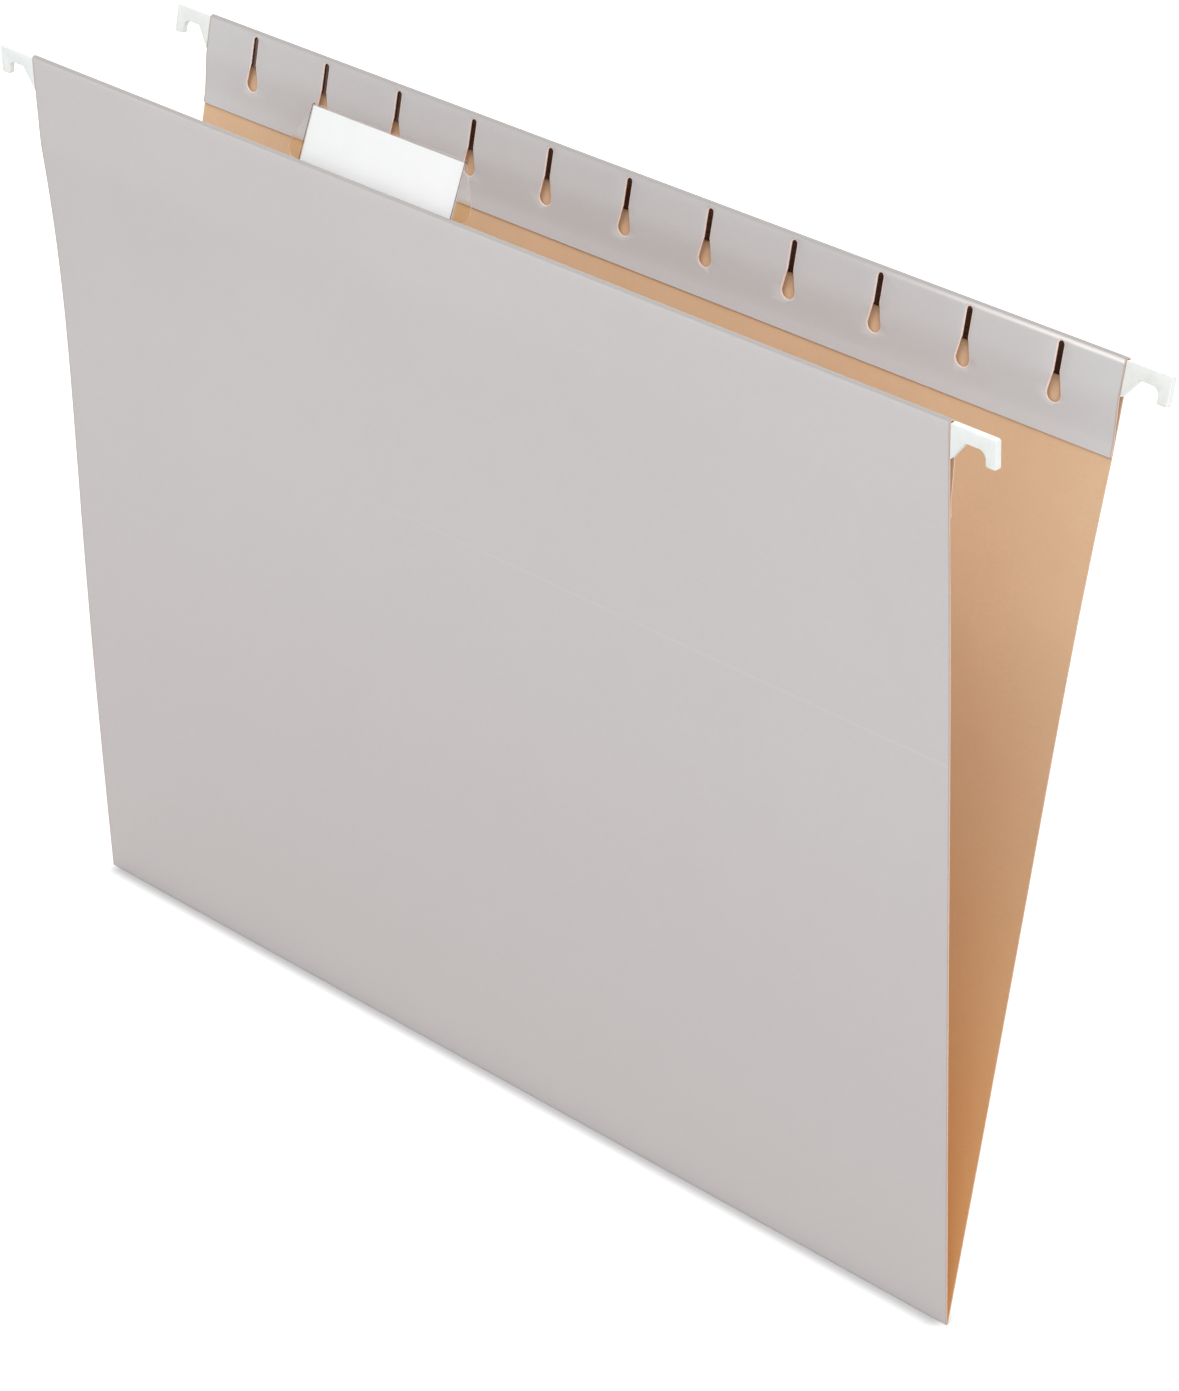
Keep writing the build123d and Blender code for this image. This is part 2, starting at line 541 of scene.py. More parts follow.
@dataclass(frozen=True)
class DippedFinish:
    """Soft plastic dipped over metal: a smooth skin with a slight ripple."""

    name: str
    dark: Colour
    light: Colour
    ripple: float = 420.0
    ripple_depth: float = 0.03
    ripple_share: float = 0.6
    rough: tuple[float, float] = (0.3, 0.42)
    specular: float = 0.5
    index: float = 1.5

    def make(self) -> Material:
        """Writes the material.

        Returns:
            The finished material.
        """
        recipe = Recipe(self.name)
        ripple = recipe.noise(self.ripple)
        colour = recipe.shade(ripple, self.dark, self.light)
        recipe.surface(colour, ripple, self.rough, self.ripple_depth, self.ripple_share)
        recipe.set(Specular_IOR_Level=self.specular, IOR=self.index)
        return recipe.material


@dataclass(frozen=True)
class FilmFinish:
    """Clear moulded film, faintly clouded by handling.

    A foot colour tints the lower part of the tab's two ears: a painted tint that stands in for the kraft
    lining seen through and reflected in them.
    """

    name: str
    dark: Colour
    light: Colour
    body: float
    smudge: float = 160.0
    smudge_depth: float = 0.01
    smudge_share: float = 0.4
    rough: tuple[float, float] = (0.06, 0.16)
    specular: float = 0.5
    index: float = 1.46
    # Painted tint for the kraft lining seen through and reflected in the ears, and where it fades in.
    foot: Colour | None = None
    foot_from: float = 238.0
    foot_full: float = 236.6
    ear_left: float = -54.5
    ear_right: float = -3.3
    ear_fade: float = 0.5

    def make(self) -> Material:
        """Writes the material.

        Returns:
            The finished material.
        """
        recipe = Recipe(self.name)
        smudge = recipe.noise(self.smudge, detail=4.0)
        colour = recipe.shade(smudge, self.dark, self.light)
        # Painted tint of the kraft seen through the ears' lower part.
        if self.foot:
            left = recipe.along("X", self.ear_left, self.ear_left - self.ear_fade)
            right = recipe.along("X", self.ear_right, self.ear_right + self.ear_fade)
            low = recipe.along("Z", self.foot_from, self.foot_full)
            share = recipe.work("MULTIPLY", recipe.work("MAXIMUM", left, right), low)
            colour = recipe.blend(colour, self.foot, share)
        recipe.surface(colour, smudge, self.rough, self.smudge_depth, self.smudge_share)
        recipe.set(Alpha=self.body, IOR=self.index, Specular_IOR_Level=self.specular)
        return recipe.material


@dataclass(frozen=True)
class FloorFinish:
    """White studio floor that keeps a shadow and shows white where nothing shades it.

    It carries a painted contact shadow: it darkens and its glow fades beside the crease, where the folder
    stands on it. The glow's reaches are in metres from the middle.
    """

    name: str
    colour: Colour
    near_glow: float
    far_glow: float
    near_reach: float = 0.2
    far_reach: float = 1.1
    # Painted contact shadow: its colour at the crease and how far out it fades, in millimetres.
    contact_colour: Colour = (196, 196, 197)
    contact_reach: float = 6.5
    crease_end: float = 145.0
    rough: float = 0.9

    def beside(self, recipe: Recipe) -> Socket:
        """Measures the distance from the crease.

        Args:
            recipe: The material being written.

        Returns:
            A share that grows from 0 at the crease to 1 where the folder no longer shades the floor.
        """
        across = recipe.work("ABSOLUTE", recipe.axis("X"))
        past = recipe.work("SUBTRACT", across, self.crease_end * MILLIMETRE, clamp=True)
        away = recipe.add("ShaderNodeCombineXYZ")
        recipe.link(past, away.inputs["X"])
        recipe.link(recipe.axis("Y"), away.inputs["Y"])
        return recipe.remap(recipe.length(away.outputs["Vector"]), (0.0, self.contact_reach * MILLIMETRE))

    def make(self) -> Material:
        """Writes the material.

        Returns:
            The finished material.
        """
        recipe = Recipe(self.name)
        recipe.set(Roughness=self.rough, Specular_IOR_Level=0.0, Emission_Color=WHITE)
        # Painted contact shadow: the floor darkens and its glow fades beside the crease.
        clear = self.beside(recipe)
        colour = recipe.shade(clear, self.contact_colour, self.colour, (0.0, 1.0))
        recipe.link(colour, recipe.shader.inputs["Base Color"])
        distance = recipe.length(recipe.place)
        spread = recipe.remap(distance, (self.near_reach, self.far_reach), (self.near_glow, self.far_glow))
        glow = recipe.work("MULTIPLY", recipe.work("MULTIPLY", spread, clear), recipe.seen())
        recipe.link(glow, recipe.shader.inputs["Emission Strength"])
        return recipe.material


WORN_CARD = (184, 168, 160)

# The card's finishes, in the order of Skin.
CARD_SKINS = (
    FibreFinish(
        "grey_card",
        (202, 198, 198),
        (204, 200, 200),
        fleck_contrast=0.03,
        worn=WORN_CARD,
        # Painted shade: the outside turns slightly darker and warmer towards the crease.
        deep=(199, 193, 193),
        deep_reach=210.0,
        # Painted shade: a darker band along the top fold.
        fold=(172, 168, 166),
        # Painted highlight: a lighter line where a faint crease crosses the panel.
        score=(206, 202, 202),
    ),
    FibreFinish(
        "kraft_lining",
        (216, 180, 146),
        (223, 189, 155),
        fibre_stretch=(0.6, 1.0, 1.0),
        # Painted shade and warm bounce light: the lining turns darker and more orange towards the crease, as
        # deep in the pocket.
        deep=(232, 178, 118),
        deep_reach=165.0,
    ),
    FibreFinish("card_core", (226, 188, 168), (240, 212, 196), fleck_contrast=0.2),
    FibreFinish(
        "grey_flap",
        (202, 202, 204),
        (205, 205, 207),
        fleck_contrast=0.03,
        worn=WORN_CARD,
        # Painted shade: a darker band along the top fold.
        fold=(174, 170, 168),
        # Painted highlight: a pale line along the shoulder of the top fold, at its right end.
        scuff=(250, 246, 245),
    ),
    FibreFinish("torn_card", (240, 214, 206), (248, 228, 221), fleck_contrast=0.1),
)

# The tab's finishes, in the order of Film.
TAB_FILMS = (
    FilmFinish("clear_film", (236, 230, 220), (244, 240, 232), body=0.05),
    # Painted shade: the window's top line and rims are dark brown where the clear film's edges look dark.
    FilmFinish("film_dark_edge", (88, 56, 44), (120, 82, 64), body=0.85),
    # The foot colour is a painted tint for the kraft lining seen through and reflected in the ears.
    FilmFinish("film_back_leaf", (196, 190, 188), (208, 203, 201), body=0.16, foot=(188, 131, 6)),
    FilmFinish("film_pale_edge", (226, 204, 182), (240, 222, 202), body=0.4),
)

INSERT_PAPER = FibreFinish(
    "insert_paper",
    (234, 236, 238),
    (239, 240, 242),
    fleck=2400.0,
    fleck_contrast=0.02,
    grain_depth=0.006,
)
DRIED_GLUE = FibreFinish("dried_glue", (222, 206, 170), (234, 220, 190), rough=(0.25, 0.4))
# The steel is coloured dark brown as painted shade: the rod shows only through the narrow slots, whose shade
# this colour matches.
ROLLED_STEEL = SteelFinish("rolled_steel", (56, 40, 36), (98, 80, 74))
DIPPED_PLASTIC = DippedFinish("dipped_plastic", (228, 233, 231), (235, 239, 237))
WHITE_FLOOR = FloorFinish("white_floor", (226, 226, 225), near_glow=0.44, far_glow=0.75)


class Bench:
    """Modelling by operators on one mesh at a time, in millimetres."""

    def __init__(self, name: str) -> None:
        """Puts a single point at the origin, selected and in edit mode.

        Args:
            name: Name of the piece and its mesh.
        """
        if bpy.context.object and bpy.context.object.mode != "OBJECT":
            self.mode("OBJECT")
        bpy.ops.object.select_all(action="DESELECT")
        bpy.ops.mesh.primitive_plane_add(size=1.0)
        self.piece = bpy.context.object
        self.piece.name = name
        self.piece.data.name = name
        self.mode("EDIT")
        bpy.ops.mesh.select_mode(type="VERT")
        self.select_all()
        bpy.ops.mesh.merge(type="CENTER")

    def mode(self, name: str) -> None:
        """Goes to object mode or edit mode."""
        bpy.ops.object.mode_set(mode=name)

    def select_all(self) -> None:
        """Selects the whole mesh."""
        bpy.ops.mesh.select_all(action="SELECT")

    def select(self, wanted: Callable[[Vector], bool]) -> None:
        """Selects points by their place.

        Args:
            wanted: Test that the place of a selected point passes.
        """
        bpy.ops.mesh.select_mode(type="VERT")
        bpy.ops.mesh.select_all(action="DESELECT")
        self.mode("OBJECT")
        for vertex in self.piece.data.vertices:
            vertex.select = wanted(vertex.co)
        self.mode("EDIT")
        bpy.ops.mesh.select_mode(type="VERT")

    def draw(self, points: Iterable[Place]) -> None:
        """Moves the first point into place and extrudes it from point to point.

        Args:
            points: The places to go through, in order.
        """
        path = [Vector(point) for point in points]
        bpy.ops.transform.translate(value=path[0])
        for before, after in zip(path, path[1:]):
            bpy.ops.mesh.extrude_vertices_move(TRANSFORM_OT_translate={"value": after - before})

    def fill(self) -> None:
        """Closes the drawn outline with a face."""
        self.select_all()
        bpy.ops.mesh.edge_face_add()

    def sweep(self, steps: Iterable[Place]) -> None:
        """Extrudes the selected edges or faces by each step in turn."""
        for step in steps:
            bpy.ops.mesh.extrude_region_move(TRANSFORM_OT_translate={"value": step})

    def follow(self, section: Section) -> None:
        """Extrudes the selected edges along a section of places in y and z."""
        self.sweep([(0, b[0] - a[0], b[1] - a[1]) for a, b in zip(section, section[1:])])

    def ribbon(self, section: Section, width: float, columns: int) -> None:
        """Models an open sheet of even width.

        Args:
            section: Places in y and z along the sheet.
            width: Its width along x.
            columns: Number of faces across it.
        """
        self.draw([(-width / 2, *section[0]), (width / 2, *section[0])])
        self.select_all()
        bpy.ops.mesh.subdivide(number_cuts=columns - 1)
        self.follow(section)

    def round_corner(self, corner: tuple[float, float], reach: float, segments: int = 6) -> None:
        """Rounds a corner of a flat outline.

        Args:
            corner: Place of the corner in x and y.
            reach: How far from the corner the round starts, which on a square corner is its radius.
            segments: Number of straight parts in the round.
        """
        self.select(lambda co: math.hypot(co.x - corner[0], co.y - corner[1]) < NEAR)
        bpy.ops.mesh.bevel(
            offset_type="ABSOLUTE", offset=reach, segments=segments, profile=0.5, affect="VERTICES"
        )

    def outward(self) -> None:
        """Turns every face of a closed shape outward."""
        self.select_all()
        bpy.ops.mesh.normals_make_consistent(inside=False)

    def face_towards(self, direction: Place) -> None:
        """Flips an open sheet whose first face doesn't look along a direction.

        Args:
            direction: Where the first face has to look.
        """
        self.outward()
        self.mode("OBJECT")
        along = self.piece.data.polygons[0].normal.dot(Vector(direction))
        self.mode("EDIT")
        if along < 0:
            bpy.ops.mesh.flip_normals()

    def modify(self, kind: str, **settings: object) -> None:
        """Adds a modifier and applies it.

        Args:
            kind: The modifier's type name.
            settings: Values for the modifier's properties.
        """
        self.mode("OBJECT")
        modifier = self.piece.modifiers.new(kind.title(), kind)
        for name, value in settings.items():
            setattr(modifier, name, value)
        bpy.ops.object.modifier_apply(modifier=modifier.name)

    def bevel(self, width: float, segments: int, angle: float = 50.0) -> None:
        """Rounds the edges that are sharper than an angle."""
        limit = math.radians(angle)
        self.modify("BEVEL", width=width, segments=segments, limit_method="ANGLE", angle_limit=limit)

    def merge_slivers(self, reach: float = 0.004) -> None:
        """Merges points that a cut left too close together.

        Args:
            reach: Distance in millimetres below which points merge.
        """
        self.mode("EDIT")
        self.select_all()
        bpy.ops.mesh.remove_doubles(threshold=reach)
        bpy.ops.mesh.dissolve_degenerate(threshold=reach)
        self.mode("OBJECT")

    def dress(self, *materials: Material) -> None:
        """Gives the mesh its material slots, in order."""
        for material in materials:
            self.piece.data.materials.append(material)

    def place(self, frame: Matrix, smooth_angle: float = 30.0) -> Piece:
        """Puts the finished mesh where it belongs.

        Args:
            frame: From the bench's millimetres to the scene's metres.
            smooth_angle: Edges flatter than this are shaded smooth.

        Returns:
            The finished object.
        """
        self.mode("OBJECT")
        bpy.ops.object.select_all(action="DESELECT")
        self.piece.select_set(True)
        bpy.context.view_layer.objects.active = self.piece
        self.piece.matrix_world = frame
        bpy.ops.object.transform_apply(location=True, rotation=True, scale=True)
        bpy.ops.object.shade_smooth_by_angle(angle=math.radians(smooth_angle))
        return self.piece


def copy_piece(piece: Piece, name: str) -> Piece:
    """Copies an object with a mesh of its own.

    Args:
        piece: The object to copy.
        name: Name of the copy and its mesh.

    Returns:
        The copy, linked to the scene.
    """
    copy = piece.copy()
    copy.data = piece.data.copy()
    copy.name = name
    copy.data.name = name
    bpy.context.collection.objects.link(copy)
    return copy


@dataclass(frozen=True)
class FolderSizes:
    """Driving sizes that the pieces share, as in the solids."""

    card: float = 0.3
    sheet_width: float = 298.45
    panel_height: float = 234.95
    opening_angle: float = 14.5
    crease_gap: float = 0.05
    rod_thick: float = 1.0
    rod_height: float = 8.5
    rod_top_gap: float = 0.18
    rod_play: float = 0.1
    hook_reach: float = 12.4
    sleeve_margin: float = 0.75
    sleeve_slope: float = 9.5
    bond_width: float = 3.5
    glue: float = 0.1
    coat: float = 0.3
    coat_gap: float = 0.1

    @property
    def half_angle(self) -> float:
        """Lean of each half from the vertical, in radians."""
        return math.radians(self.opening_angle / 2)

    @property
    def sleeve_gap(self) -> float:
        """Clear width of the sleeve beside the rod."""
        return self.rod_thick + 2 * self.rod_play

    @property
    def fold_inner(self) -> float:
        """Inside radius of the top fold."""
        return self.sleeve_gap / 2

    @property
    def fold_start(self) -> float:
        """Height at which the panel turns into the top fold."""
        return self.panel_height - self.fold_inner - self.card

    @property
    def rod_drop(self) -> float:
        """Depth of the rod's top edge below the top fold."""
        room = math.sqrt(self.fold_inner**2 - (self.rod_thick / 2) ** 2)
        return self.fold_inner + self.card - room + self.rod_top_gap

    @property
    def rod_bottom(self) -> float:
        """Depth of the rod's lower edge below the top fold."""
        return self.rod_drop + self.rod_height

    @property
    def sleeve_depth(self) -> float:
        """Depth at which the flap starts to slope to the panel."""
        return self.rod_bottom + self.sleeve_margin

    @property
    def bond_top(self) -> float:
        """Depth at which the flap meets its glue."""
        return self.sleeve_depth + self.sleeve_slope

    @property
    def flap_depth(self) -> float:
        """Depth of the flap's lower edge."""
        return self.bond_top + self.bond_width

    @property
    def rod_length(self) -> float:
        """Length of a rod over both hooks, without its coats."""
        return self.sheet_width + 2 * self.hook_reach

    def down(self, depth: float) -> float:
        """Height up the panel of a depth below the top fold."""
        return self.panel_height - depth

    def flap_face(self, height: float) -> float:
        """Place outward of the flap's open face at a height up the panel."""
        share = (self.panel_height - height - self.sleeve_depth) / self.sleeve_slope
        return -self.card - self.sleeve_gap + min(max(share, 0), 1) * (self.sleeve_gap - self.glue)

    def half_frame(self, side: Side) -> Matrix:
        """The frame of one half.

        Args:
            side: Which half.

        Returns:
            Matrix from the half's millimetres to the scene's metres.
        """
        crease = Matrix.Translation((0, 0, self.card))
        turn = Matrix.Rotation(math.radians(side.value), 4, "Z")
        upright = Matrix.Rotation(math.pi / 2, 4, "X")
        lean = Matrix.Rotation(self.half_angle, 4, "X")
        return Matrix.Scale(MILLIMETRE, 4) @ crease @ turn @ lean @ upright


@dataclass
class KeyholeSlots:
    """Row of keyhole slots through a flap.

    Each slot's cutter widens from its bend, just under the flap's open face, to its mouth, just past it. That
    leaves a torn rim.
    """

    sizes: FolderSizes
    count: int = 11
    edge: float = 17.725
    top: float = 1.5
    neck: float = 1.7
    neck_lift: float = 0.75
    bulb: float = 4.0
    bottom: float = 15.598
    depth_from: float = 0.15
    depth_to: float = 3.0
    bend: float = -1.0
    mouth: float = -2.0
    mouth_gap: float = 0.02
    burr: float = 0.34
    burr_depth: float = 0.1
    neck_segments: int = 8
    bulb_segments: int = 16

    def places(self) -> list[float]:
        """Places of the slots along the crease."""
        pitch = (self.sizes.sheet_width - 2 * self.edge) / (self.count - 1)
        return [(number - (self.count - 1) / 2) * pitch for number in range(self.count)]

    def outline(self, grow: float = 0.0) -> Section:
        """Outline of a slot about its own centre line.

        Args:
            grow: How far the outline stands outside the slot.

        Returns:
            Places across and up the panel, round the slot.
        """
        neck_radius = self.neck / 2 + grow
        neck_centre = self.sizes.down(self.top + self.neck / 2)
        neck_end = self.sizes.down(self.sizes.rod_bottom - self.neck_lift)
        bulb_centre = self.sizes.down(self.bottom - self.bulb / 2)
        neck = arc((0.0, neck_centre), neck_radius, 0.0, math.pi, self.neck_segments)
        bulb = arc((0.0, bulb_centre), self.bulb / 2 + grow, math.pi, math.pi, self.bulb_segments)
        return neck + [(-neck_radius, neck_end)] + bulb + [(neck_radius, neck_end)]

    def open_out(self, piece: Piece) -> None:
        """Widens the far part of a straight cutter, so that it leaves a torn edge on the flap's open face.

        Args:
            piece: The cutter for one slot.
        """
        straight = self.outline()
        wide = self.outline(self.burr)
        for vertex in piece.data.vertices:
            at = min(range(len(straight)), key=lambda i: (vertex.co.xy - Vector(straight[i])).length)
            face = self.sizes.flap_face(vertex.co.y)
            if vertex.co.z < self.mouth + NEAR:
                vertex.co.x, vertex.co.y = wide[at]
            if abs(vertex.co.z - self.bend) < NEAR:
                vertex.co.z = face + self.burr_depth
            elif abs(vertex.co.z - self.mouth) < NEAR:
                vertex.co.z = face - self.mouth_gap

    def cutter(self, materials: tuple[Material, ...]) -> Piece:
        """Models the shape that cuts all the slots.

        Args:
            materials: The sheet's materials, so that the cut takes the cut edge's slot.

        Returns:
            One object with a prism for each slot.
        """
        bench = Bench("slot_cutter")
        bench.draw([(x, y, -self.depth_from) for x, y in self.outline()])
        bench.fill()
        rings = (-self.depth_from, self.bend, self.mouth, -self.depth_to)
        bench.sweep([(0, 0, after - before) for before, after in zip(rings, rings[1:])])
        bench.outward()
        bench.dress(*materials)
        bench.mode("OBJECT")
        for polygon in bench.piece.data.polygons:
            torn = self.mouth < polygon.center.z < self.bend
            polygon.material_index = (Skin.RIM if torn else Skin.CUT).value
        self.open_out(bench.piece)
        first, *others = self.places()
        copies = [copy_piece(bench.piece, f"slot_cutter_{number}") for number in range(len(others))]
        bpy.ops.object.select_all(action="DESELECT")
        for piece, place in zip([bench.piece, *copies], [first, *others]):
            piece.location.x = place
            piece.select_set(True)
        bpy.context.view_layer.objects.active = bench.piece
        bpy.ops.object.transform_apply(location=True, rotation=True, scale=True)
        bpy.ops.object.join()
        return bench.piece


@dataclass
class CardSheet:
    """One half of the card: the panel, the fold over the rod and the slotted flap, in one sheet.

    The panel bows towards the pocket, more at its left end, with a slight wave along the crease.
    """

    sizes: FolderSizes
    side: Side
    skins: tuple[Material, ...]
    columns: int = 64
    panel_rows: int = 72
    fold_rows: int = 12
    flap_rows: int = 4
    bow_left: float = 2.2
    bow_right: float = 0.4
    bow_lift: float = 2.6
    back_bow: float = 0.5
    wave: float = 0.12
    wave_turns: float = 2.6
    wave_start: float = 0.8

    def section(self) -> Section:
        """Lays out the sheet's inside from the crease to the flap's lower edge.

        Returns:
            Places up the panel and outward.
        """
        sizes = self.sizes
        start = sizes.card + sizes.crease_gap
        rise = sizes.fold_start - start
        points = [(start + rise * row / self.panel_rows, 0.0) for row in range(self.panel_rows + 1)]
        fold = arc((-sizes.fold_inner, sizes.fold_start), sizes.fold_inner, 0.0, math.pi, self.fold_rows)
        points += [(height, out) for out, height in fold[1:]]
        legs = (
            (sizes.down(sizes.sleeve_depth), -sizes.sleeve_gap),
            (sizes.down(sizes.bond_top), -sizes.glue),
            (sizes.down(sizes.flap_depth), -sizes.glue),
        )
        for height, out in legs:
            from_height, from_out = points[-1]
            for row in range(1, self.flap_rows + 1):
                share = row / self.flap_rows
                points.append(
                    (from_height + share * (height - from_height), from_out + share * (out - from_out))
                )
        return points

    def bow(self, x: float, y: float) -> float:
        """How far the panel stands out of its plane.

        Args:
            x: Place along the crease.
            y: Height up the panel.

        Returns:
            Distance outward, negative towards the pocket.
        """
        sizes = self.sizes
        top = sizes.down(sizes.flap_depth)
        if not 0 < y < top:
            return 0.0
        share = y / top
        across = x / sizes.sheet_width + 0.5
        depth = self.bow_left + across * (self.bow_right - self.bow_left)
        belly = depth * math.sin(math.pi * share**self.bow_lift)
        turn = self.wave_turns * math.pi * across + self.wave_start
        wave = self.wave * math.sin(math.pi * share) * math.sin(turn)
        if self.side is Side.BACK:
            return -self.back_bow * belly - wave
        return -belly + wave

    def build(self) -> Piece:
        """Models the sheet and puts it in place.

        Returns:
            The finished sheet.
        """
        sizes = self.sizes
        cutter = KeyholeSlots(sizes).cutter(self.skins)
        bench = Bench(f"{self.side.word}_sheet")
        bench.ribbon(self.section(), sizes.sheet_width, self.columns)
        bench.face_towards((0, 0, 1))
        bench.dress(*self.skins)
        bench.modify(
            "SOLIDIFY",
            thickness=sizes.card,
            offset=1.0,
            use_even_offset=True,
            material_offset=Skin.INSIDE.value,
            material_offset_rim=Skin.CUT.value,
        )
        bench.modify("BOOLEAN", operation="DIFFERENCE", solver="EXACT", object=cutter)
        bpy.data.objects.remove(cutter)
        bench.merge_slivers()
        for polygon in bench.piece.data.polygons:
            turned_in = polygon.center.z < -sizes.glue - sizes.card / 2
            if turned_in and polygon.material_index == Skin.OUTSIDE.value:
                polygon.material_index = Skin.FLAP.value
        flat = -sizes.sleeve_gap / 2
        for vertex in bench.piece.data.vertices:
            if vertex.co.z > flat:
                vertex.co.z += self.bow(vertex.co.x, vertex.co.y)
        return bench.place(sizes.half_frame(self.side))

    def finish(self) -> Piece:
        """Builds the sheet and says what it stands for.

        Returns:
            The finished sheet.
        """
        sheet = self.build()
        word = self.side.word
        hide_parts(f"{word}_panel", f"{word}_top_fold", f"{word}_flap")
        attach(sheet, word)
        return sheet


@dataclass
class BottomCrease:
    """The bent strip of card that joins the two panels under the pocket."""

    sizes: FolderSizes
    skins: tuple[Material, ...]
    columns: int = 32
    bend_rows: int = 14
    core: float = 0.03

    def section(self) -> Section:
        """Lays out the outside of the bend from front to back, about the crease.

        Returns:
            Places across and up.
        """
        sizes = self.sizes
        lean = sizes.half_angle
        reach = sizes.card + 2 * sizes.crease_gap
        across = sizes.card * math.cos(lean) + reach * math.sin(lean)
        up = reach * math.cos(lean) - sizes.card * math.sin(lean)
        bend = arc((0.0, 0.0), sizes.card, math.pi + lean, math.pi - 2 * lean, self.bend_rows)
        return [(-across, up), *bend, (across, up)]

    def finish(self) -> Piece:
        """Builds the strip.

        Returns:
            The finished strip.
        """
        sizes = self.sizes
        bench = Bench("crease_strip")
        bench.ribbon(self.section(), sizes.sheet_width, self.columns)
        bench.face_towards((0, -1, 0))
        bench.dress(*self.skins[: Skin.FLAP.value])
        bench.modify(
            "SOLIDIFY",
            thickness=sizes.card - self.core,
            offset=-1.0,
            material_offset=Skin.INSIDE.value,
            material_offset_rim=Skin.CUT.value,
        )
        frame = Matrix.Scale(MILLIMETRE, 4) @ Matrix.Translation((0, 0, sizes.card))
        strip = bench.place(frame)
        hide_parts("bottom_fold")
        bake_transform(strip)
        return strip


@dataclass
class HangerRod:
    """A flat steel rod with a hook at each end, and the plastic dipped over the hooks."""

    sizes: FolderSizes
    side: Side
    steel: Material
    plastic: Material
    arm: float = 2.85
    tip_drop: float = 6.45
    tip_width: float = 2.4
    notch_width: float = 5.95
    notch_round: float = 2.2
    slant_run: float = 4.5
    end_round: float = 0.35
    tip_round: float = 0.35
    steel_bevel: float = 0.12
    steel_segments: int = 2
    coat_bevel: float = 0.2
    coat_segments: int = 4
    coat_smooth: float = 50.0

    def blank(self, name: str) -> Bench:
        """Models the rod with both hooks, before its edges are rounded and before any coat.

        Args:
            name: Name of the piece.

        Returns:
            The bench with the mesh in edit mode.
        """
        sizes = self.sizes
        top = sizes.down(sizes.rod_drop)
        arm = sizes.down(sizes.rod_drop + self.arm)
        tip = sizes.down(sizes.rod_drop + self.tip_drop)
        low = sizes.down(sizes.rod_bottom)
        end = sizes.rod_length / 2
        tip_inside = end - self.tip_width
        notch = tip_inside - self.notch_width
        foot = notch - self.slant_run
        near = -(sizes.sleeve_gap - sizes.rod_thick) / 2
        half = [(end, top), (end, tip), (tip_inside, tip), (tip_inside, arm), (notch, arm), (foot, low)]
        other = [(-x, y) for x, y in reversed(half)]
        bench = Bench(name)
        bench.draw([(x, y, near) for x, y in half + other])
        bench.fill()
        rounds = (self.end_round, self.tip_round, self.tip_round, self.notch_round)
        for way in End:
            for (x, y), reach in zip(half, rounds):
                bench.round_corner((way.value * x, y), reach)
        bench.select_all()
        bench.sweep([(0, 0, -sizes.rod_thick)])
        bench.outward()
        return bench

    def build_rod(self) -> Piece:
        """Builds the steel rod.

        Returns:
            The finished rod.
        """
        bench = self.blank(f"{self.side.word}_hanger_rod")
        bench.bevel(self.steel_bevel, self.steel_segments)
        bench.dress(self.steel)
        rod = bench.place(self.sizes.half_frame(self.side))
        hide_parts(f"{self.side.word}_rod")
        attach(rod, self.side.word)
        return rod

    def build_coat(self, end: End) -> Piece:
        """Builds the plastic over one hook, grown from the hook's own shape.

        Args:
            end: Which end, seen from the front.

        Returns:
            The finished coat.
        """
        sizes = self.sizes
        way = end.value if self.side is Side.FRONT else -end.value
        inner = sizes.sheet_width / 2 + sizes.coat_gap + sizes.coat
        bench = self.blank(f"{self.side.word}_{end.word}_hook_tip")
        bench.select_all()
        bpy.ops.mesh.bisect(
            plane_co=(way * inner, 0, 0), plane_no=(way, 0, 0), use_fill=True, clear_inner=True
        )
        bench.outward()
        bpy.ops.transform.shrink_fatten(value=sizes.coat, use_even_offset=True)
        bench.bevel(self.coat_bevel, self.coat_segments)
        bench.dress(self.plastic)
        coat = bench.place(sizes.half_frame(self.side), self.coat_smooth)
        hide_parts(f"{self.side.word}_{end.word}_hook_coat")
        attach(coat, self.side.word)
        return coat


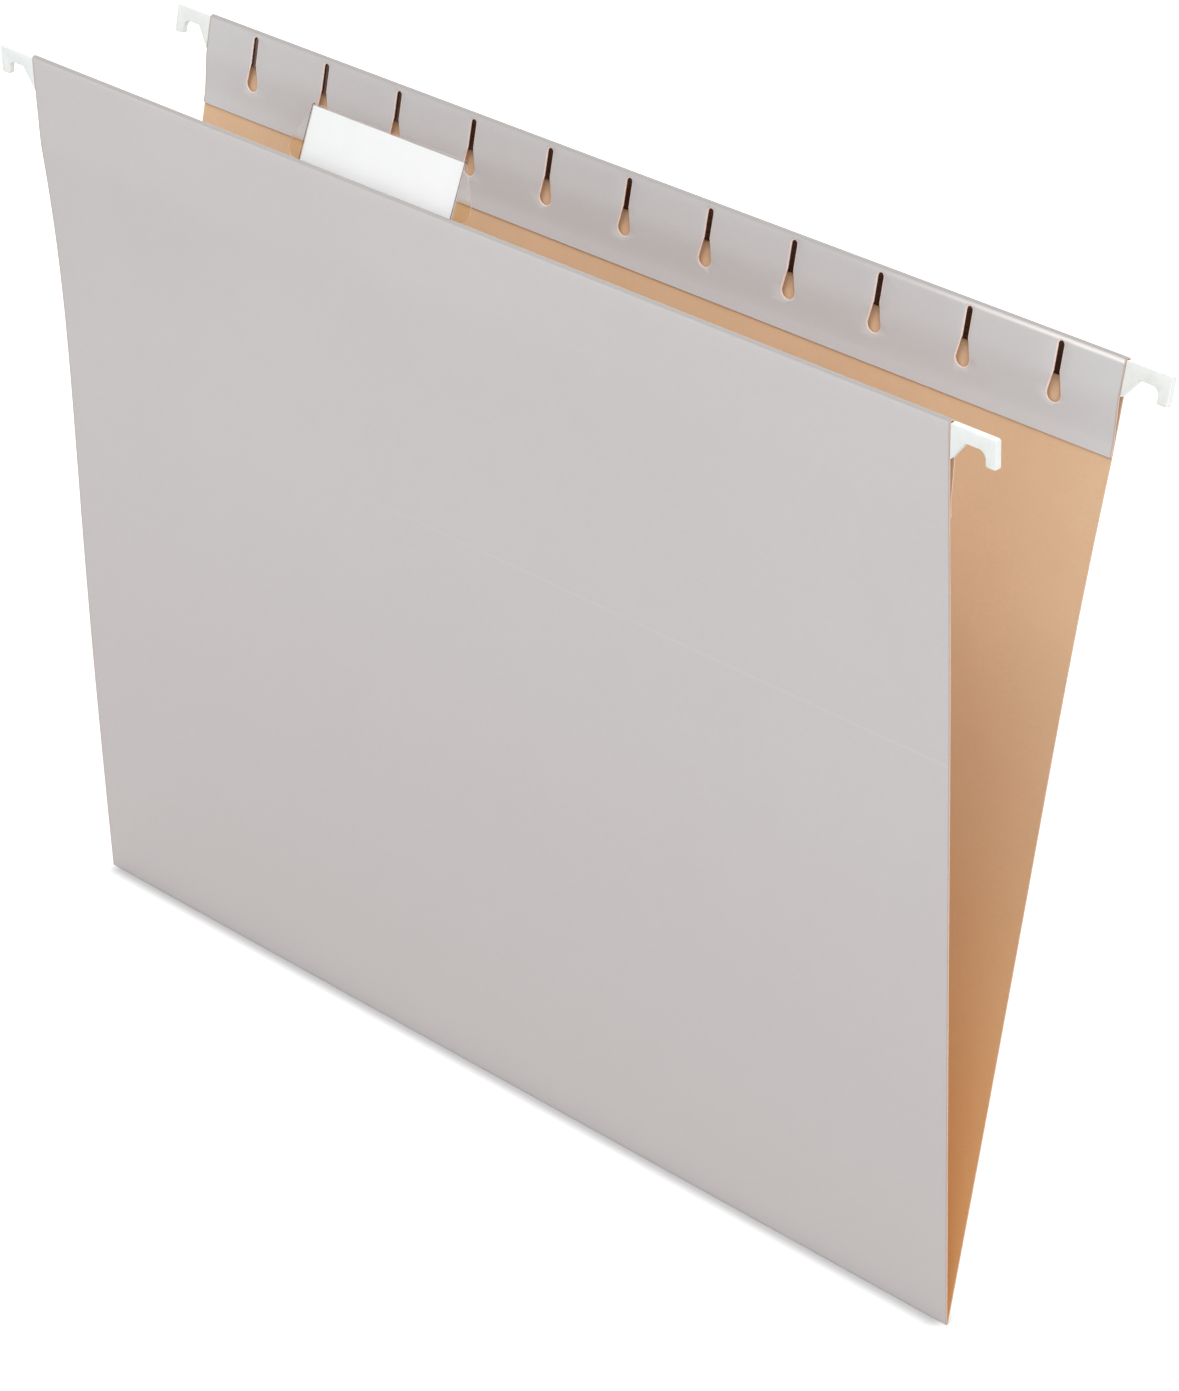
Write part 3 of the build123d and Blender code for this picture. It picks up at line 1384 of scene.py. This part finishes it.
@dataclass
class IndexTab:
    """Clear tab: a folded window with rounded ears, and the paper insert in it."""

    sizes: FolderSizes
    film_finishes: tuple[Material, ...]
    paper_finish: Material
    film: float = 0.3
    centre: float = -28.9
    lean_angle: float = 24.5
    pivot_depth: float = 2.5
    pivot_out: float = -2.05
    window_width: float = 51.3
    window_low: float = 0.38
    window_height: float = 15.2
    window_base: float = 0.6
    pocket_gap: float = 0.4
    ear_corner: float = 7.1
    ear_round: float = 3.6
    ear_start: float = 0.8
    ear_stop: float = 0.4
    ear_segments: int = 12
    fold_rows: int = 8
    fold_line: float = 0.9
    film_bevel: float = 0.05
    film_segments: int = 2
    film_angle: float = 60.0
    paper: float = 0.2
    insert_side_gap: float = 0.2
    insert_end_gap: float = 0.3
    insert_round: float = 0.3
    insert_segments: int = 3

    @property
    def leaf_out(self) -> float:
        """Distance from the window's middle to the middle of each leaf."""
        return (self.pocket_gap + self.film) / 2

    @property
    def fold_height(self) -> float:
        """Height at which the leaves turn into the fold along the top."""
        return self.window_height - self.pocket_gap / 2 - self.film

    @property
    def ear_low(self) -> float:
        """Height of the ears' lower edge."""
        return self.window_low + self.ear_start

    def frame(self) -> Matrix:
        """Works out the window's own frame, with y up the window.

        Returns:
            Matrix from the window's millimetres to the scene's metres.
        """
        pivot = Matrix.Translation((self.centre, self.sizes.down(self.pivot_depth), self.pivot_out))
        lean = Matrix.Rotation(-math.radians(self.lean_angle), 4, "X")
        return self.sizes.half_frame(Side.FRONT) @ pivot @ lean

    def back_leaf(self) -> list[Place]:
        """Lays out the window's back leaf with its two ears.

        Returns:
            The outline's places, from the top right corner round below.
        """
        half = self.window_width / 2
        ear_top = min(self.window_height - self.ear_stop, self.fold_height - self.film)
        ear = [(half, ear_top), (half + self.ear_corner, self.ear_low), (half, self.ear_low)]
        right = [(half, self.fold_height), *ear, (half, self.window_low)]
        left = [(-x, y) for x, y in reversed(right)]
        return [(x, y, -self.leaf_out) for x, y in right + left]

    def sort_faces(self, piece: Piece) -> None:
        """Gives the window's top line, its back leaf and the edges of its ears their own material slots.

        Args:
            piece: The window, before it is placed.
        """
        outer = self.pocket_gap / 2 + self.film
        line = self.window_height - outer + self.fold_line * outer
        ears = self.window_width / 2 + self.film_bevel
        for polygon in piece.data.polygons:
            centre = polygon.center
            if polygon.material_index == Film.EDGE.value:
                if abs(centre.x) > ears:
                    polygon.material_index = Film.EAR_EDGE.value
            # The top line takes the edge's painted shade.
            elif centre.y > line:
                polygon.material_index = Film.EDGE.value
            elif centre.z < 0:
                polygon.material_index = Film.BACK.value

    def build_window(self) -> Piece:
        """Builds the window: a back leaf with ears that folds over the top into the front leaf.

        Returns:
            The finished window.
        """
        bench = Bench("tab_clear_window")
        bench.draw(self.back_leaf())
        bench.fill()
        half = self.window_width / 2
        slope = math.atan2(self.window_height - self.ear_stop - self.ear_low, self.ear_corner)
        for way in End:
            corner = (way.value * (half + self.ear_corner), self.ear_low)
            bench.round_corner(corner, self.ear_round / math.tan(slope / 2), self.ear_segments)
        fold = arc((0.0, self.fold_height), self.leaf_out, math.pi, -math.pi, self.fold_rows)
        front = [(self.window_low, self.leaf_out), (self.window_low, self.leaf_out - self.pocket_gap)]
        top = self.fold_height - NEAR
        bench.select(lambda co: co.y > top and abs(abs(co.x) - half) < NEAR)
        bench.follow([(height, out) for out, height in fold] + front)
        bench.face_towards((0, 0, -1))
        bench.dress(*self.film_finishes)
        bench.modify(
            "SOLIDIFY",
            thickness=self.film,
            offset=0.0,
            use_even_offset=True,
            material_offset_rim=Film.EDGE.value,
        )
        bench.bevel(self.film_bevel, self.film_segments, self.film_angle)
        self.sort_faces(bench.piece)
        window = bench.place(self.frame())
        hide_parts("tab_window")
        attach(window, "tab")
        return window

    def build_insert(self) -> Piece:
        """Builds the paper insert.

        Returns:
            The finished insert.
        """
        bench = Bench("tab_paper_insert")
        half = self.window_width / 2 - self.insert_side_gap
        low = self.window_low + self.window_base + self.insert_end_gap
        high = self.window_height - self.film - self.insert_end_gap
        corners = ((-half, low), (half, low), (half, high), (-half, high))
        bench.draw([(x, y, 0) for x, y in corners])
        bench.fill()
        for corner in corners:
            bench.round_corner(corner, self.insert_round, self.insert_segments)
        bench.face_towards((0, 0, 1))
        bench.dress(self.paper_finish)
        bench.modify("SOLIDIFY", thickness=self.paper, offset=0.0)
        insert = bench.place(self.frame())
        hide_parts("tab_insert")
        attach(insert, "insert")
        return insert


@dataclass(frozen=True)
class Lamp:
    """A square soft light, with its place and side in metres and its power in watts."""

    name: str
    place: Place
    size: float
    power: float

    def hang(self, aim: Place) -> None:
        """Hangs the light.

        Args:
            aim: The point that it faces.
        """
        lamp = bpy.data.lights.new(self.name, "AREA")
        lamp.shape = "SQUARE"
        lamp.size = self.size
        lamp.energy = self.power
        holder = bpy.data.objects.new(self.name, lamp)
        direction = Vector(aim) - Vector(self.place)
        holder.rotation_euler = direction.to_track_quat("-Z", "Y").to_euler()
        holder.location = self.place
        bpy.context.collection.objects.link(holder)


@dataclass
class Studio:
    """White floor, soft light and the camera, in metres."""

    floor_finish: Material
    floor_size: float = 60.0
    world_level: float = 0.485
    lamps: tuple[Lamp, ...] = (
        Lamp("key_light", (2.3, -1.3, 1.5), size=1.3, power=44.0),
        Lamp("top_light", (-0.5, -0.85, 2.0), size=1.4, power=19.0),
        Lamp("back_light", (-1.0, 2.0, 1.3), size=1.4, power=24.0),
    )
    middle: Place = (0.0, 0.0, 0.12)
    camera_place: Place = (0.72978, -0.74826, 0.59988)
    azimuth: float = 43.35
    elevation: float = 25.24
    roll: float = 3.44
    lens: float = 123.8
    sensor: float = 36.0
    sight: float = 100.0

    def build_floor(self) -> None:
        """Lays the floor under the crease."""
        bpy.ops.object.select_all(action="DESELECT")
        bpy.ops.mesh.primitive_plane_add(size=self.floor_size)
        floor = bpy.context.object
        floor.name = "floor"
        floor.data.materials.append(self.floor_finish)

    def light_world(self) -> None:
        """Lights the scene evenly, with a white background where the camera and reflections see it."""
        world = bpy.data.worlds.new("studio")
        world.use_nodes = True
        bpy.context.scene.world = world
        wiring = Wiring(world.node_tree)
        nodes = world.node_tree.nodes
        mix = wiring.add("ShaderNodeMixShader")
        wiring.link(wiring.seen(), mix.inputs["Fac"])
        backgrounds = (
            (nodes["Background"], self.world_level, mix.inputs[1]),
            (wiring.add("ShaderNodeBackground"), 1.0, mix.inputs[2]),
        )
        for background, level, target in backgrounds:
            background.inputs["Color"].default_value = WHITE
            background.inputs["Strength"].default_value = level
            wiring.link(background.outputs["Background"], target)
        wiring.link(mix.outputs["Shader"], nodes["World Output"].inputs["Surface"])

    def add_camera(self) -> None:
        """Sets the camera at the photograph's view."""
        azimuth = math.radians(self.azimuth)
        elevation = math.radians(self.elevation)
        roll = math.radians(self.roll)
        level = Vector((math.cos(azimuth), math.sin(azimuth), 0))
        ahead = Vector((-math.sin(azimuth), math.cos(azimuth), 0))
        forward = math.cos(elevation) * ahead - math.sin(elevation) * Vector((0, 0, 1))
        right = math.cos(roll) * level + math.sin(roll) * level.cross(forward)
        up = right.cross(forward)
        camera = bpy.data.cameras.new("camera")
        camera.sensor_width = self.sensor
        camera.lens = self.lens
        camera.clip_end = self.sight
        holder = bpy.data.objects.new("camera", camera)
        axes = Matrix((right, up, -forward)).transposed().to_4x4()
        holder.matrix_world = Matrix.Translation(self.camera_place) @ axes
        bpy.context.collection.objects.link(holder)
        bpy.context.scene.camera = holder

    def build(self) -> None:
        """Builds the whole studio."""
        bpy.context.scene.view_settings.view_transform = "Standard"
        self.build_floor()
        self.light_world()
        for lamp in self.lamps:
            lamp.hang(self.middle)
        self.add_camera()


def dress_node(nodes: dict[str, Piece], name: str, material: Material) -> None:
    """Gives a solid that stays on show its material.

    Args:
        nodes: The frame's nodes by name.
        name: The solid's name.
        material: Its material.
    """
    mesh = nodes[name].data
    mesh.materials.clear()
    mesh.materials.append(material)
    log.info("dressed %s", name)


def main() -> None:
    """Builds the folder and its studio in order."""
    logging.basicConfig(level=logging.INFO, format="%(name)s: %(message)s")
    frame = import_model()
    sizes = FolderSizes()
    skins = tuple(finish.make() for finish in CARD_SKINS)
    films = tuple(finish.make() for finish in TAB_FILMS)
    steel = ROLLED_STEEL.make()
    plastic = DIPPED_PLASTIC.make()
    glue = DRIED_GLUE.make()

    for side in Side:
        log.info("built %s", CardSheet(sizes, side, skins).finish().name)
        hanger = HangerRod(sizes, side, steel, plastic)
        log.info("built %s", hanger.build_rod().name)
        for end in End:
            log.info("built %s", hanger.build_coat(end).name)
        dress_node(frame["nodes"], f"{side.word}_glue_strip", glue)
    log.info("built %s", BottomCrease(sizes, skins).finish().name)

    tab = IndexTab(sizes, films, INSERT_PAPER.make())
    log.info("built %s", tab.build_window().name)
    log.info("built %s", tab.build_insert().name)
    dress_node(frame["nodes"], "tab_foot", films[Film.FRONT.value])

    Studio(WHITE_FLOOR.make()).build()


if __name__ == "__main__":
    main()
